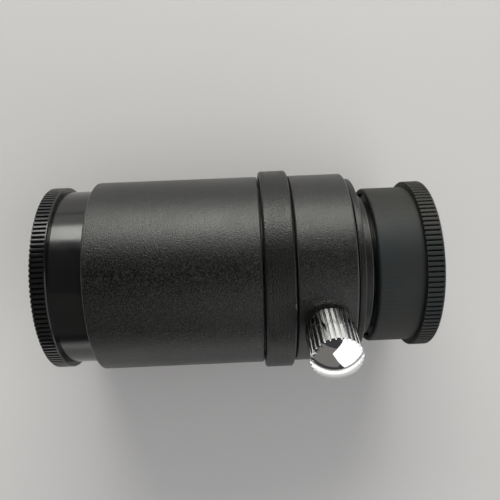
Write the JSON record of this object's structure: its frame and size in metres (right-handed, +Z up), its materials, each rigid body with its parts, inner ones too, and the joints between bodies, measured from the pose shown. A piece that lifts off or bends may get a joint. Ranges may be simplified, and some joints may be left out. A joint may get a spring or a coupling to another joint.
{
  "type": "c-mount microscope adapter",
  "caption": "Black tube that joins a C-mount camera to a microscope's photo tube, with a relay lens, sliding draw tube, chrome clamp screw and grooved end caps.",
  "frame": {"origin": "centre of the seat behind the C-mount thread, on the optical axis", "axes": "+X along the optical axis towards the camera, +Z up when the adapter lies on its side"},
  "size_m": [0.0681, 0.0368, 0.0428],
  "materials": {
    "anodised_matte": "black anodised over a fine blasted surface, matte",
    "anodised_turned": "black anodised over fine turning lines",
    "anodised_inner": "dull black anodised inside the tube",
    "lens_glass": "polished and coated optical glass",
    "black_steel": "blackened steel",
    "pad_brass": "plain turned brass",
    "screw_chrome": "bright chrome plating",
    "cap_satin": "satin moulded plastic, faintly scuffed",
    "cap_gloss": "gloss moulded plastic"
  },
  "bodies": {
    "housing": {"barrel": "anodised_matte", "clamp_collar": "anodised_matte", "socket_set_screw": "black_steel", "lens_cell": "anodised_inner", "cell_lock_ring": "anodised_inner", "lens_spacer": "anodised_inner", "lens_retaining_ring": "anodised_inner", "front_flint": "lens_glass", "front_crown": "lens_glass", "rear_flint": "lens_glass", "rear_crown": "lens_glass"},
    "lock_ring": {"lock_ring": "anodised_turned"},
    "draw_tube": {"draw_tube": "anodised_turned", "ring_set_screws": "black_steel"},
    "c_mount_ring": {"c_mount_ring": "anodised_turned"},
    "camera_end_cap": {"camera_end_cap": "cap_satin"},
    "microscope_end_cap": {"microscope_end_cap": "cap_gloss"},
    "clamp_pad": {"clamp_pad": "pad_brass"},
    "thumbscrew": {"thumbscrew": "screw_chrome"}
  },
  "joints": [
    {"name": "lock_ring_turn", "type": "hinge", "parent": "housing", "child": "lock_ring", "pos_m": [-0.01797, 0, 0], "axis": [1, 0, 0], "range_deg": [-140, 165]},
    {"name": "draw_tube_slide", "type": "slide", "parent": "housing", "child": "draw_tube", "axis": [1, 0, 0], "range_m": [0, 0.006]},
    {"name": "c_mount_ring_turn", "type": "hinge", "parent": "draw_tube", "child": "c_mount_ring", "pos_m": [-0.00507, 0, 0], "axis": [1, 0, 0], "continuous": true},
    {"name": "camera_cap_pull", "type": "slide", "parent": "c_mount_ring", "child": "camera_end_cap", "axis": [1, 0, 0], "range_m": [-0.0017, 0.06]},
    {"name": "microscope_cap_pull", "type": "slide", "parent": "housing", "child": "microscope_end_cap", "axis": [-1, 0, 0], "range_m": [-0.0004, 0.06]},
    {"name": "pad_travel", "type": "slide", "parent": "housing", "child": "clamp_pad", "axis": [0, -0.5225, 0.8526], "range_m": [0, 0.0014]},
    {"name": "thumbscrew_turn", "type": "hinge", "parent": "clamp_pad", "child": "thumbscrew", "pos_m": [-0.01017, 0, 0], "axis": [0, -0.5225, 0.8526], "range_deg": [0, 720.5]}
  ],
  "couplings": [
    {"joint": "thumbscrew_turn", "follows": "pad_travel", "rad_per_m": 8976}
  ]
}
